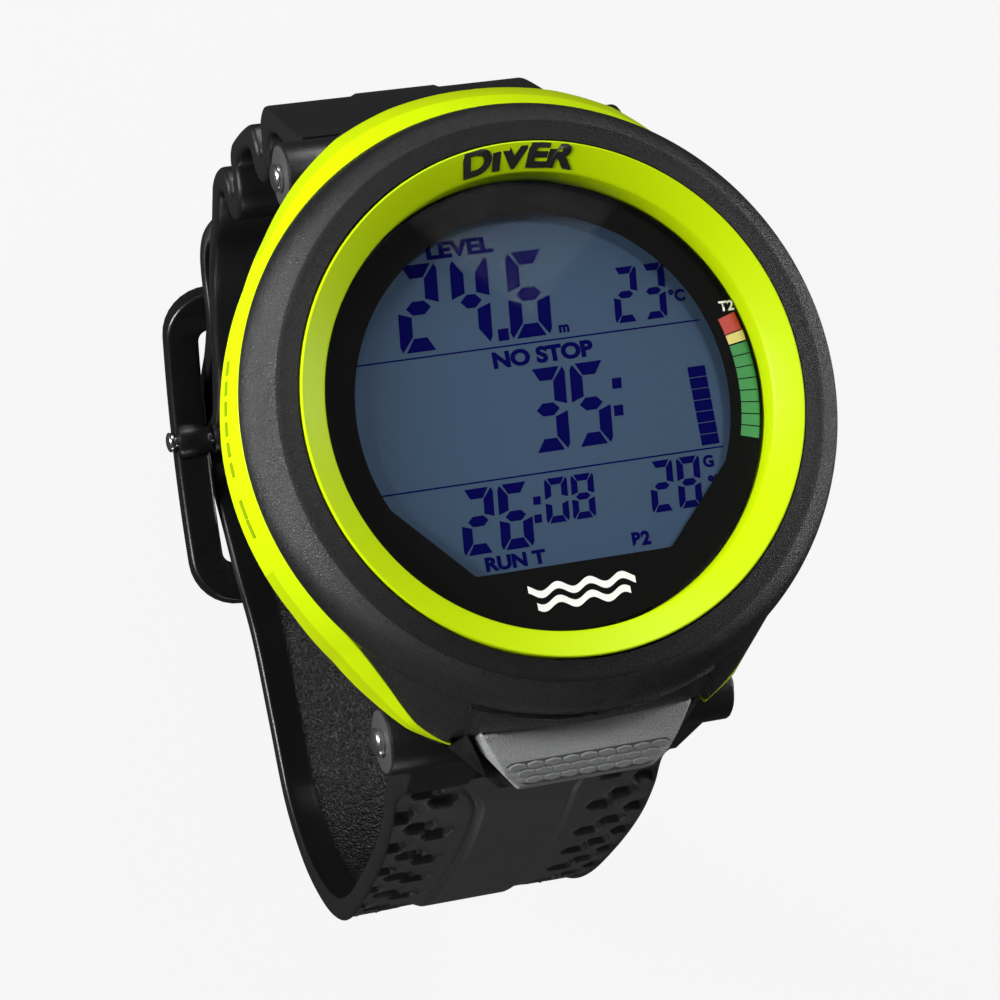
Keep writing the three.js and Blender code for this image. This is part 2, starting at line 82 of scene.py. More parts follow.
# ---------------------------------------------------------------- materials
def material(name, color, rough=0.5, metal=0.0, bump=(), speckle=None, spec=0.5, coat=0.0, emit=0.0, alpha=1.0, mask=None):
    """bump: (scale, strength) pairs of noise relief; speckle: (scale, low, high) of roughness."""
    m = bpy.data.materials.new(name)
    m.use_nodes = True
    tree = m.node_tree
    new, link = tree.nodes.new, tree.links.new
    b = tree.nodes["Principled BSDF"]
    b.inputs["Base Color"].default_value = (*color, 1)
    b.inputs["Roughness"].default_value = rough
    b.inputs["Metallic"].default_value = metal
    b.inputs["Specular IOR Level"].default_value = spec
    b.inputs["Coat Weight"].default_value = coat
    b.inputs["Coat Roughness"].default_value = 0.08
    b.inputs["Alpha"].default_value = alpha
    if emit:
        b.inputs["Emission Color"].default_value = (*color, 1)
        b.inputs["Emission Strength"].default_value = emit
    where = new("ShaderNodeTexCoord").outputs["Object"]
    last = None
    for scale, strength in bump:
        noise = new("ShaderNodeTexNoise")
        noise.inputs["Scale"].default_value = scale
        noise.inputs["Detail"].default_value = 3
        link(where, noise.inputs["Vector"])
        relief = new("ShaderNodeBump")
        relief.inputs["Distance"].default_value = 0.0004
        relief.inputs["Strength"].default_value = strength
        link(noise.outputs["Fac"], relief.inputs["Height"])
        if mask:
            attribute = new("ShaderNodeAttribute")
            attribute.attribute_name = mask
            times = new("ShaderNodeMath")
            times.operation = "MULTIPLY"
            times.inputs[1].default_value = strength
            link(attribute.outputs["Fac"], times.inputs[0])
            link(times.outputs[0], relief.inputs["Strength"])
        if last:
            link(last.outputs["Normal"], relief.inputs["Normal"])
        last = relief
    if last:
        link(last.outputs["Normal"], b.inputs["Normal"])
    if speckle:
        scale, low, high = speckle
        noise = new("ShaderNodeTexNoise")
        noise.inputs["Scale"].default_value = scale
        span = new("ShaderNodeMapRange")
        span.inputs["From Min"].default_value = 0.35
        span.inputs["From Max"].default_value = 0.65
        span.inputs["To Min"].default_value = low
        span.inputs["To Max"].default_value = high
        link(where, noise.inputs["Vector"])
        link(noise.outputs["Fac"], span.inputs["Value"])
        link(span.outputs["Result"], b.inputs["Roughness"])
    return m


SHELL = material("shell", (0.0042, 0.0043, 0.0044), 0.5, bump=((7000, 0.45),), speckle=(5200, 0.24, 0.5), spec=0.5)
# A darker, less glossy copy of shell: painted shade for the bezel's inner slope.
SHELL_PAINTED_SHADE = material("shell_painted_shade", (0.0025, 0.0026, 0.0027), 0.5, bump=((7000, 0.45),), speckle=(5200, 0.26, 0.5), spec=0.22)
SHELL_EDGE = material("shell_polished", (0.003, 0.003, 0.0032), 0.25, spec=0.4)
LIME = material("lime", (0.42, 0.58, 0.0006), 0.4, bump=((1500, 0.03),), spec=0.12)
LIME_DARK = material("lime_shade", (0.34, 0.45, 0.0006), 0.4, spec=0.12)
LIME_DASH = material("lime_dash", (0.2, 0.28, 0.0), 0.5, spec=0.1)
INK = material("ink", (0.006, 0.006, 0.006), 0.5)
MASK = material("mask_print", (0.004, 0.0042, 0.0042), 0.5, spec=0.02)
DISPLAY = material("display", (0.041, 0.07, 0.118), 0.5, bump=((5200, 0.05),), spec=0.03)
SEGMENT = material("segment", (0.002, 0.002, 0.058), 0.5, spec=0.0)
WHITE = material("white_print", (0.8, 0.8, 0.8), 0.5)
RED = material("gauge_red", (0.42, 0.02, 0.008), 0.5)
YELLOW = material("gauge_yellow", (0.62, 0.5, 0.14), 0.5)
GREEN = material("gauge_green", (0.01, 0.19, 0.035), 0.5)
GLASS = material("lens", (0.02, 0.02, 0.025), 0.02, alpha=0.01, spec=0.2)
BUTTON = material("button", (0.3, 0.305, 0.31), 0.42, bump=((5200, 0.8),), speckle=(4200, 0.2, 0.55))
BUTTON_FLAT = material("button_relief", (0.22, 0.225, 0.23), 0.4, bump=((5200, 0.3),))
# A dark copy of the button plastic: painted shade for the recessed panel between the cells.
BUTTON_RECESS_SHADE = material("button_recess_painted_shade", (0.09, 0.092, 0.095), 0.5, bump=((5200, 0.3),))
RUBBER = material("strap", (0.085, 0.085, 0.083), 0.5, bump=((6000, 0.1),), speckle=(4800, 0.4, 0.55), spec=0.4)
STIPPLE = material("strap_stipple", (0.004, 0.004, 0.0041), 0.3, bump=((2600, 1.0), (1300, 0.8)), mask="stipple", spec=0.3)
BELLOWS = material("strap_bellows", (0.0045, 0.0046, 0.0047), 0.42, bump=((6000, 0.1),), speckle=(4800, 0.3, 0.45), spec=0.5)
LUG_GREY = material("lug_end", (0.035, 0.035, 0.036), 0.5, bump=((2600, 0.2),))
PLASTIC = material("buckle", (0.0035, 0.0036, 0.0037), 0.3, bump=((6000, 0.08),), spec=0.5)
STEEL = material("steel", (0.72, 0.73, 0.75), 0.2, 1.0)
GASKET = material("gasket", (0.01, 0.01, 0.01), 0.6)
BOARD = material("board", (0.02, 0.16, 0.06), 0.5, bump=((900, 0.2),))
CHIP = material("chip", (0.02, 0.02, 0.02), 0.5)
FROST = material("diffuser", (0.8, 0.82, 0.85), 0.5)
SILICONE = material("silicone", (0.45, 0.09, 0.05), 0.6)


# ---------------------------------------------------------------- mesh helpers
def mesh(name, verts, faces, look, body, smooth=True, angle=40):
    """verts in case millimetres. The piece rides on body, or on none when body is None."""
    data = bpy.data.meshes.new(name)
    data.from_pydata([tuple(v) for v in row(verts)], [], [tuple(int(i) for i in f) for f in faces])
    looks = look if isinstance(look, (list, tuple)) else [look]
    for m in looks:
        data.materials.append(m)
    obj = bpy.data.objects.new(name, data)
    bpy.context.collection.objects.link(obj)
    work = bmesh.new()
    work.from_mesh(data)
    bmesh.ops.remove_doubles(work, verts=work.verts, dist=1e-7)
    bmesh.ops.recalc_face_normals(work, faces=work.faces)
    work.to_mesh(data)
    work.free()
    if smooth:
        data.set_sharp_from_angle(angle=math.radians(angle))
        data.shade_smooth() if angle >= 180 else None
        for p in data.polygons:
            p.use_smooth = True
    if body:
        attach(obj, body)
    return obj


def finish(obj, slot, *nodes):
    if nodes:
        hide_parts(*nodes)
    return obj


def grid_faces(rows, cols, wrap_rows=False, wrap_cols=False, start=0):
    faces = []
    for i in range(rows if wrap_rows else rows - 1):
        for j in range(cols if wrap_cols else cols - 1):
            a, b = i * cols + j, i * cols + (j + 1) % cols
            c, d = ((i + 1) % rows) * cols + (j + 1) % cols, ((i + 1) % rows) * cols + j
            faces.append((a + start, b + start, c + start, d + start))
    return faces


def lathe(name, profile, look, body, facets=192, angle=40):
    """A closed [radius, z] profile turned about Z."""
    profile = np.asarray(profile, float)
    a = np.linspace(0, 2 * math.pi, facets, endpoint=False)
    verts = [(r * math.cos(t), r * math.sin(t), z) for t in a for r, z in profile]
    return mesh(name, verts, grid_faces(facets, len(profile), True, True), look, body, angle=angle)


def rod(name, radius, x0, x1, y, z, look, body, facets=48, ease=0.3):
    """A cylinder along X with eased ends."""
    sign = 1 if x1 > x0 else -1
    profile = [(0, x0), (radius - ease, x0), (radius - ease * 0.3, x0 + sign * ease * 0.3), (radius, x0 + sign * ease),
               (radius, x1 - sign * ease), (radius - ease * 0.3, x1 - sign * ease * 0.3), (radius - ease, x1), (0, x1)]
    a = np.linspace(0, 2 * math.pi, facets, endpoint=False)
    verts = [(x, y + r * math.cos(t), z + r * math.sin(t)) for t in a for r, x in profile]
    return mesh(name, verts, grid_faces(facets, len(profile), True, False), look, body)


def dome(name, radius, height, x, y, z, side, look, body):
    """A shallow domed rivet head at x, facing side (-1 or +1) along X."""
    steps, facets = 8, 40
    verts, faces = [], []
    for i in range(steps + 1):
        u = i / steps
        r = radius * math.cos(u * math.pi / 2) if i else radius
        h = height * math.sin(u * math.pi / 2)
        for j in range(facets):
            t = 2 * math.pi * j / facets
            verts.append((x + side * h, y + r * math.cos(t), z + r * math.sin(t)))
    faces = grid_faces(steps + 1, facets, False, True)
    return mesh(name, verts, faces, look, body)


def hull(name, points, look, body, bevel=0.4):
    """The convex hull of points, with eased edges."""
    work = bmesh.new()
    for p in row(points):
        work.verts.new(p)
    made = bmesh.ops.convex_hull(work, input=work.verts)
    spare = {v for v in made["geom_unused"] + made["geom_interior"] if isinstance(v, bmesh.types.BMVert)}
    bmesh.ops.delete(work, geom=list(spare), context="VERTS")
    bmesh.ops.dissolve_limit(work, angle_limit=math.radians(4), verts=work.verts, edges=work.edges)
    data = bpy.data.meshes.new(name)
    work.to_mesh(data)
    work.free()
    data.materials.append(look)
    obj = bpy.data.objects.new(name, data)
    bpy.context.collection.objects.link(obj)
    for p in data.polygons:
        p.use_smooth = True
    data.set_sharp_from_angle(angle=math.radians(30))
    soften(obj, bevel)
    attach(obj, body)
    return obj


def soften(obj, width, segments=3, angle=35):
    b = obj.modifiers.new("edges", "BEVEL")
    b.width = width * MM
    b.segments = segments
    b.limit_method = "ANGLE"
    b.angle_limit = math.radians(angle)
    b.harden_normals = True
    return obj


def prism(name, outline, z0, z1, look, body, bevel=0.0, hole=None):
    """An (x, y) outline from z0 up to z1."""
    n = len(outline)
    verts = [(x, y, z0) for x, y in outline] + [(x, y, z1) for x, y in outline]
    faces = [tuple(range(n))[::-1], tuple(range(n, 2 * n))]
    faces += [(i, (i + 1) % n, n + (i + 1) % n, n + i) for i in range(n)]
    obj = mesh(name, verts, faces, look, body, angle=30)
    return soften(obj, bevel) if bevel else obj


def joined(name, objs):
    """Joins flat prints into one mesh."""
    work = bmesh.new()
    looks = []
    for o in objs:
        before = len(work.faces)
        work.from_mesh(o.data)
        work.faces.ensure_lookup_table()
        m = o.data.materials[0]
        if m not in looks:
            looks.append(m)
        for f in list(work.faces)[before:]:
            f.material_index = looks.index(m)
    data = bpy.data.meshes.new(name)
    work.to_mesh(data)
    work.free()
    for m in looks:
        data.materials.append(m)
    for o in objs:
        bpy.data.objects.remove(o)
    obj = bpy.data.objects.new(name, data)
    bpy.context.collection.objects.link(obj)
    return obj


def smooth(a, b, v):
    t = np.clip((np.asarray(v, float) - a) / (b - a), 0, 1)
    return t * t * (3 - 2 * t)


def spline(points, count):
    """A Catmull-Rom curve through 2-D points, sampled at equal arc lengths. Returns points and unit tangents."""
    p = np.asarray(points, float)
    p = np.vstack([p[0] * 2 - p[1], p, p[-1] * 2 - p[-2]])
    fine = []
    for i in range(1, len(p) - 2):
        t = np.linspace(0, 1, 60, endpoint=False)[:, None]
        a, b, c, d = p[i - 1], p[i], p[i + 1], p[i + 2]
        fine.append(0.5 * (2 * b + (c - a) * t + (2 * a - 5 * b + 4 * c - d) * t**2 + (3 * b - a - 3 * c + d) * t**3))
    fine = np.vstack([*fine, p[-2][None]])
    length = np.r_[0, np.cumsum(np.linalg.norm(np.diff(fine, axis=0), axis=1))]
    at = np.linspace(0, length[-1], count)
    out = np.stack([np.interp(at, length, fine[:, k]) for k in (0, 1)], 1)
    tangent = np.gradient(out, axis=0)
    return out, tangent / np.linalg.norm(tangent, axis=1)[:, None], length[-1]


# ---------------------------------------------------------------- dial: bezel, lime ring, lens, printed border
arc = lambda cx, cz, r, a0, a1, n: [
    (cx + r * math.cos(math.radians(a)), cz + r * math.sin(math.radians(a))) for a in np.linspace(a0, a1, n)
]
bezel_profile = [(30.25, 21.1), (35.75, 21.1), (35.9, 21.35)]
bezel_profile += [(35.86, 22.0), (35.72, 22.8), (35.45, 23.6), (35.05, 24.4), (34.5, 25.15), (33.8, 25.8), (33.1, 26.25)]
bezel_profile += [(32.7, 26.48), (32.35, 26.6), (32.0, 26.64), (31.2, 26.82), (30.5, 27.0), (30.25, 27.05)]
bezel = lathe("bezel", bezel_profile, SHELL, "case", 256, 60)
# The bezel's inner slope takes the darker copy of shell: painted shade.
bezel.data.materials.append(SHELL_PAINTED_SHADE)
for face in bezel.data.polygons:
    x, y, z = face.center
    if math.hypot(x, y) < 32.55 * MM and z > (26 - LENS_TOP) * MM:
        face.material_index = 1
finish(bezel, "shell_plastic", "bezel_ring")

ring_profile = [(26.75, 21.2), (29.95, 21.2), (30.0, 27.3), (29.93, 27.45), (29.8, 27.5), (29.5, 27.33), (27.1, 25.72), (26.85, 25.52), (26.75, 25.3)]
finish(lathe("lime_ring", ring_profile, LIME, "case", 256, 32), "lime_plastic", "dial_ring")

finish(lathe("lens_disc", [(0, 22.7), (26.3, 22.7), (26.35, 25.1), (26.25, 25.2), (0, 25.2)], GLASS, "case", 128, 30), "lens_glass", "lens")

WINDOW = 22.6
FOOT = -18.6
PRINT_Z = 22.4


def border():
    """The black printed border: from the window's outline out to the lens edge."""
    n = 360
    verts, faces = [], []
    for i in range(n):
        t = 2 * math.pi * i / n
        c, s = math.cos(t), math.sin(t)
        r = WINDOW
        if r * s < FOOT:
            r = FOOT / s
        corner = 1.2  # the foot's corners are cut
        k = (WINDOW**2 - FOOT**2) ** 0.5
        for side in (-1, 1):
            x1, y1 = side * (k - 0.9), FOOT
            x2, y2 = side * (k + 0.35), FOOT + 1.1 * corner
            nx, ny = (y2 - y1), -(x2 - x1)
            size = math.hypot(nx, ny)
            nx, ny = nx / size, ny / size
            if nx * side < 0:
                nx, ny = -nx, -ny
            d = nx * x1 + ny * y1
            if nx * c + ny * s > 1e-6 and side * c > 0 and s < 0:
                r = min(r, d / (nx * c + ny * s))
        for rr, z in ((26.3, PRINT_Z), (r, PRINT_Z), (r + 0.02, PRINT_Z - 0.25), (26.3, PRINT_Z - 0.25)):
            verts.append((rr * c, rr * s, z))
    return mesh("window_border", verts, grid_faces(n, 4, True, True), MASK, "case", angle=30)


finish(border(), "dial_print", "dial_mask")

LCD_Z = 20.55
finish(lathe("display_panel", [(0, 19.2), (23.5, 19.2), (23.5, LCD_Z), (0, LCD_Z)], DISPLAY, "case", 96, 30), "display_glass", "lcd_panel")

# ---------------------------------------------------------------- display contents
prints = []


def flat(polygon, look=SEGMENT, z=LCD_Z + 0.03):
    data = bpy.data.meshes.new("print")
    pts = row([(x, y, z) for x, y in polygon])
    data.from_pydata([tuple(p) for p in pts], [], [tuple(range(len(pts)))])
    data.materials.append(look)
    o = bpy.data.objects.new("print", data)
    bpy.context.collection.objects.link(o)
    prints.append(o)
    return o


SEGMENTS = {"0": "abcdef", "1": "bc", "2": "abged", "3": "abgcd", "4": "fgbc", "5": "afgcd", "6": "afgedc", "7": "abc",
            "8": "abcdefg", "9": "abfgcd"}
SLANT = 0.11


def digit(char, x, y, w, h, t):
    """A seven-segment digit whose lower left corner is at x, y, with segments t thick."""
    g = 0.09 * t + 0.05
    m = h / 2
    c = 0.34 * t
    seg = {
        "a": [(g + c, h), (w - g - c, h), (w - t - g + 0.1, h - t), (t + g - 0.1, h - t)],
        "d": [(t + g - 0.1, t), (w - t - g + 0.1, t), (w - g - c, 0), (g + c, 0)],
        "g": [(g + t * 0.5, m), (t + g, m + t / 2), (w * 0.55, m + t / 2), (w - t - g, m + t / 2), (w - g - t * 0.5, m), (w - t - g, m - t / 2), (t + g, m - t / 2)],
        "f": [(0, m + g + 0.15 * t), (0, h - g - c), (c * 0.6, h - g * 0.5), (t, h - t - g), (t, m + t / 2 + g)],
        "e": [(0, m - g - 0.15 * t), (t, m - t / 2 - g), (t, t + g), (c * 0.6, g * 0.5), (0, c + g)],
        "b": [(w, m + g + 0.15 * t), (w - t, m + t / 2 + g), (w - t, h - t - g), (w - c * 0.6, h - g * 0.5), (w, h - g - c)],
        "c": [(w, m - g - 0.15 * t), (w, c + g), (w - c * 0.6, g * 0.5), (w - t, t + g), (w - t, m - t / 2 - g)],
    }
    for s in SEGMENTS[char]:
        flat([(x + px + SLANT * py, y + py) for px, py in seg[s]])


def number(text, x, y, w, h, t, pitch):
    for i, char in enumerate(text):
        if char != " ":
            digit(char, x + i * pitch, y, w, h, t)


def block(x, y, w, h, look=SEGMENT, z=LCD_Z + 0.03):
    flat([(x + SLANT * 0, y), (x + w, y), (x + w + SLANT * h, y + h), (x + SLANT * h, y + h)], look, z)


def words(text, x, y, height, look=SEGMENT, z=LCD_Z + 0.03, bold=0.02, width=1.0, shear=0.0):
    """Plain lettering, as a flat mesh centred on x, y. Returns it."""
    curve = bpy.data.curves.new("words", "FONT")
    curve.body = text
    curve.align_x = "CENTER"
    curve.align_y = "CENTER"
    curve.offset = bold
    curve.size = 1
    o = bpy.data.objects.new("words", curve)
    bpy.context.collection.objects.link(o)
    bpy.context.view_layer.update()
    data = bpy.data.meshes.new_from_object(o.evaluated_get(bpy.context.evaluated_depsgraph_get()))
    bpy.data.objects.remove(o)
    co = np.array([v.co for v in data.vertices])
    k = height / 0.7
    data.vertices.foreach_set("co", row(np.c_[x + k * width * (co[:, 0] + shear * co[:, 1]), y + k * co[:, 1], np.full(len(co), z)]).ravel())
    data.materials.clear()
    data.materials.append(look)
    made = bpy.data.objects.new("words", data)
    bpy.context.collection.objects.link(made)
    prints.append(made)
    return made


# top field: depth-like number and temperature-like number
digit("2", -15.5, 8.3, 5.0, 10.2, 1.6)
digit("4", -8.9, 8.3, 4.6, 10.2, 1.6)
flat([(-3.6, 8.3), (-2.3, 8.3), (-2.2, 9.7), (-3.5, 9.7)])
digit("6", -2.1, 8.3, 5.1, 10.2, 1.6)
words("LEVEL", -6.4, 19.7, 1.75, bold=0.05, width=1.25)
words("m", 4.5, 8.9, 1.2, bold=0.045)
number("23", 10.9, 8.5, 3.0, 6.6, 0.85, 3.5)
words("°C", 19.0, 10.8, 1.3, bold=0.04)
flat([(-21.2, 7.55), (21.2, 7.55), (21.2, 7.72), (-21.2, 7.72)])
# middle field
words("NO STOP", 1.3, 6.0, 1.75, bold=0.05, width=1.15)
number("35", -2.1, -5.3, 4.7, 9.8, 1.5, 5.3)
block(8.6, -2.3, 1.15, 1.25)
block(9.0, 0.9, 1.15, 1.25)
for k in range(7):
    y = -7.2 + k * 1.36
    flat([(18.6, y), (20.8, y), (20.8, y + 1.26), (18.6, y + 1.26)])
flat([(-21.2, -7.72), (21.2, -7.72), (21.2, -7.55), (-21.2, -7.55)])
# lower field
number("26", -12.4, -15.9, 4.0, 7.6, 1.2, 4.55)
block(-3.35, -13.3, 0.9, 0.95)
block(-3.1, -11.2, 0.9, 0.95)
number("08", -1.9, -13.6, 2.8, 5.2, 0.78, 3.25)
words("RUN T", -6.5, -17.3, 1.5, bold=0.05, width=1.15)
number("28", 11.0, -14.2, 2.9, 6.0, 0.82, 3.4)
words("%", 19.2, -11.6, 1.3, bold=0.045)
words("G", 19.0, -9.2, 1.3, bold=0.045)
words("B2", 9.0, -17.0, 1.5, bold=0.05)
# printed gauge on the border
def gauge(a0, a1, look, r0=23.9, r1=26.15):
    inner = [(r0 * math.cos(math.radians(a)), r0 * math.sin(math.radians(a))) for a in np.linspace(a0, a1, 6)]
    outer = [(r1 * math.cos(math.radians(a)), r1 * math.sin(math.radians(a))) for a in np.linspace(a1, a0, 6)]
    flat(inner + outer, look, PRINT_Z + 0.03)


gauge(12.4, 17.2, RED)
gauge(9.4, 12.1, YELLOW)
for k in range(8):
    gauge(8.95 - k * 3.25, 8.95 - k * 3.25 - 2.95, GREEN)
words("T2", 24.2, 8.5, 1.15, WHITE, PRINT_Z + 0.03, 0.03)
# a plain wave sign below the window
for k, y in enumerate((-21.3, -22.9)):
    xs = np.linspace(-6.2 + k * 0.8, 6.8 - k * 0.8, 60)
    w = 0.42 * np.sin((xs - 0.3) * 1.6)
    flat([(x, y + d + 0.42) for x, d in zip(xs, w)] + [(x, y + d - 0.42) for x, d in reversed(list(zip(xs, w)))], WHITE, PRINT_Z + 0.03)
display = joined("display_print", prints)
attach(display, "case")
finish(display, "display_glass")

# plain lettering on the lime ring, bent along it
prints = []
ring_word = words("DIVER", 0.6, 0, 2.4, INK, 0, bold=0.05, width=1.45, shear=0.14)
co = np.array([v.co for v in ring_word.data.vertices]) / MM
theta = math.pi / 2 - co[:, 0] / 28.4
radius = 28.35 + co[:, 1]
height = np.interp(radius, [27.1, 29.5], [25.72, 27.33]) + 0.16
ring_word.data.vertices.foreach_set("co", row(np.c_[radius * np.cos(theta), radius * np.sin(theta), height]).ravel())
ring_word.name = "ring_lettering"
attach(ring_word, "case")
finish(ring_word, "dial_print")


# ---------------------------------------------------------------- the CAD's own pieces, with looks
def dress(node, look, body, bevel=0.2, segments=2, angle=32):
    """A copy of a CAD node with eased edges and its real material, which stands for the node."""
    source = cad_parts[node]
    data = source.data.copy()
    data.materials.clear()
    data.materials.append(look)
    obj = bpy.data.objects.new(node + "_look", data)
    bpy.context.collection.objects.link(obj)
    obj.matrix_world = source.matrix_world
    work = bmesh.new()
    work.from_mesh(data)
    bmesh.ops.remove_doubles(work, verts=work.verts, dist=2e-6)
    bmesh.ops.dissolve_limit(work, angle_limit=math.radians(1), verts=work.verts, edges=work.edges)
    work.to_mesh(data)
    work.free()
    for p in data.polygons:
        p.use_smooth = True
    data.set_sharp_from_angle(angle=math.radians(angle))
    if bevel:
        soften(obj, bevel, segments, angle)
    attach(obj, body)
    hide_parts(node)
    return obj


def paint(look, *nodes):
    for node in nodes:
        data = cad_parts[node].data
        data.materials.clear()
        data.materials.append(look)
        for p in data.polygons:
            p.use_smooth = False


dress("case_shell", SHELL, "case", 0.15)
dress("case_back", SHELL, "case", 0.15)
dress("battery_cover", SHELL_EDGE, "battery_cover", 0.15)
for k in range(1, 5):
    dress(f"case_back_screw_{k}", STEEL, "case", 0.1)
for node in ("upper_strap_pin", "lower_strap_pin"):
    dress(node, STEEL, "case", 0.2)
dress("buckle_pin", STEEL, "upper_strap_end", 0.2)
dress("buckle_tongue", PLASTIC, "buckle_tongue", 0.3)
paint(GASKET, "lens_gasket", "case_back_seal", "battery_cover_seal", "button_seal")
paint(FROST, "backlight")
paint(CHIP, "lcd_frame", "processor_chip", "radio_module", "memory_chip", "button_switch", "battery_housing")
paint(SILICONE, "zebra_connector_upper", "zebra_connector_lower")
paint(BOARD, "circuit_board")
paint(STEEL, "quartz_crystal", "pressure_sensor", "buzzer", "battery", "battery_contact_inner", "battery_contact_outer")
paint(STEEL, "button_stem", "button_clip")
spring = dress("button_spring", STEEL, "case", 0)
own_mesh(spring)

# ---------------------------------------------------------------- lime trim band
TRIM_END = 156.5  # degrees from 12 o'clock to each tip
TRIM_PLAN = np.array([(0, 39.5, 15.7), (15, 39.6, 15.7), (26, 39.4, 15.5), (37, 38.4, 15.2), (48, 37.2, 14.8), (58, 36.5, 14.2), (69, 36.4, 13.8), (80, 36.4, 13.3),
                      (90, 36.5, 12.9), (111, 36.5, 12.3), (121, 36.5, 12.0), (132, 36.9, 11.2), (142, 38.2, 11.2), (149, 39.4, 11.9), (156.5, 39.75, 12.5)])


def trim_edges(d):
    """Outer radius, upper-edge radius and heights of the trim band, d degrees from 12 o'clock."""
    out = np.interp(d, TRIM_PLAN[:, 0], TRIM_PLAN[:, 1])
    low = np.interp(d, TRIM_PLAN[:, 0], TRIM_PLAN[:, 2])
    tip = float(smooth(126, TRIM_END, d))
    top_r = 35.75 + (out - 0.1 - 35.75) * tip
    top_z = 21.0 + (12.9 - 21.0) * tip
    low_z = float(low)
    return out, top_r, top_z, low_z


def trim():
    n = 361
    verts, faces = [], []
    for i in range(n):
        d = -TRIM_END + 2 * TRIM_END * i / (n - 1)
        out, top_r, top_z, low_z = trim_edges(abs(d))
        t = math.radians(90 + d)
        span = 1 - float(smooth(126, TRIM_END, abs(d)))
        section = [
            (top_r - 0.7 * span, top_z), (top_r, top_z), (top_r + 0.12 * span, top_z - 0.12 * span),
            (top_r + (out - top_r) * 0.55 + 0.25 * span, low_z + (top_z - low_z) * 0.42),
            (out - 0.05, low_z + 0.25 * span), (out, low_z), (out - 0.08, low_z - 0.35), (out - 0.6, low_z - 0.5),
            (out - 0.9, low_z - 1.6 * span - 0.5), (min(top_r, out - 1) - 0.7 * span, low_z - 1.8 * span - 0.5),
        ]
        for r, z in section:
            verts.append((r * math.cos(t), r * math.sin(t), z))
    m = len(section)
    faces = grid_faces(n, m, False, True) + [tuple(range(m)), tuple(range((n - 1) * m, n * m))[::-1]]
    obj = mesh("trim_band", verts, faces, [LIME, LIME_DARK, SHELL_EDGE], "case", angle=28)
    centre = [p.center.copy() for p in obj.data.polygons]
    for p, c in zip(obj.data.polygons, centre):
        d = abs((math.degrees(math.atan2(c.y, c.x)) - 90 + 180) % 360 - 180)
        z = c.z / MM + LENS_TOP
        r = math.hypot(c.x, c.y) / MM
        out, top_r, top_z, low_z = trim_edges(d)
        lower = z < low_z + (top_z - low_z) * 0.4
        if z < low_z - 0.3:
            p.material_index = 2
        elif lower and (d < 52 or d > 112):
            p.material_index = 1
    return obj


finish(trim(), "lime_plastic", "trim_ring")

dashes = []
for side in (-1, 1):
    for k in range(9):
        if k == 6:
            continue
        d = 74 + k * 3.7  # degrees from 12 o'clock
        out, top_r, top_z, low_z = trim_edges(d)
        t = math.radians(90 - side * d)
        half = 0.8 if k < 6 else 1.1
        frame_r = Vector((math.cos(t), math.sin(t), 0))
        along = Vector((-math.sin(t), math.cos(t), 0))
        down = Vector((frame_r.x * (out - top_r), frame_r.y * (out - top_r), low_z - top_z)).normalized()
        normal = along.cross(down).normalized()
        if normal.dot(frame_r) < 0:
            normal = -normal
        middle = frame_r * (top_r + (out - top_r) * 0.55 + 0.3) + Vector((0, 0, low_z + (top_z - low_z) * 0.42))
        corners = []
        for lift in (-0.3, 0.02):
            for a, b in ((-half, -0.42), (half, -0.42), (half, 0.42), (-half, 0.42)):
                corners.append(middle + along * a + down * b + normal * lift)
        f = [(0, 1, 2, 3), (4, 5, 6, 7), (0, 1, 5, 4), (1, 2, 6, 5), (2, 3, 7, 6), (3, 0, 4, 7)]
        dashes.append(mesh("dash", corners, f, LIME_DASH, None))
marks = joined("trim_dashes", dashes)
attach(marks, "case")
finish(marks, "lime_plastic")


# ---------------------------------------------------------------- shell apron above the button
def apron():
    n, m = 121, 9
    verts, faces = [], []
    for i in range(n):
        off = -47 + 94 * i / (n - 1)  # degrees from 6 o'clock
        d = 180 - abs(off)
        if d < TRIM_END:
            out, top_r, top_z, low_z = trim_edges(d)
            end_r, end_z = top_r - 0.02, top_z - 0.05
        else:
            end_r = min((36.6 - 0.7 * (abs(off) / 20) ** 2) / math.cos(math.radians(off)), 39.7)
            end_z = 12.9 + 3.5 * float(smooth(23.5, 18.5, abs(off)))
        t = math.radians(-90 + off)
        start_r, start_z = 35.6, 21.05
        for j in range(m):
            u = j / (m - 1)
            r = start_r + (end_r - start_r) * u
            z = start_z + (end_z - start_z) * u
            bulge = 0.5 * math.sin(math.pi * u) * float(smooth(47, 30, abs(off)))
            r += bulge
            z += bulge * 0.4
            verts.append((r * math.cos(t), r * math.sin(t), z))
        low = 16.3 if abs(off) < 19.8 else 9.2
        for r, z in ((end_r - 0.1, min(end_z - 0.3, low)), (34.9, min(end_z - 0.3, low)), (34.9, 21.0)):
            verts.append((r * math.cos(t), r * math.sin(t), z))
    cols = m + 3
    faces = grid_faces(n, cols, False, True) + [tuple(range(cols)), tuple(range((n - 1) * cols, n * cols))[::-1]]
    return mesh("shell_apron", verts, faces, SHELL, "case", angle=50)


finish(apron(), "shell_plastic")

for side in (-1, 1):
    wedge = [(15.3, -36.0, 12.6), (14.2, -35.4, 15.2), (13.9, -36.2, 13.6), (13.8, -36.3, 9.3), (11.2, -41.0, 9.3), (10.9, -40.8, 8.6), (15.0, -36.4, 8.6), (11.8, -40.2, 9.8)]
    tagged = "left" if side < 0 else "right"
    finish(hull(f"shell_cheek_{tagged}", [(side * x, y, z) for x, y, z in wedge], SHELL, "case", 0.7), "shell_plastic")

# ---------------------------------------------------------------- button
SIDE = [(-35.7, 9.9), (-35.7, 15.9), (-36.3, 16.2), (-39.4, 14.9), (-41.4, 13.3), (-42.7, 12.0), (-42.8, 9.9)]


def plan_half(y):
    return float(np.interp(-y, [35.7, 36.3, 41.0, 42.2, 42.8], [13.1, 13.0, 10.4, 9.4, 8.0]))


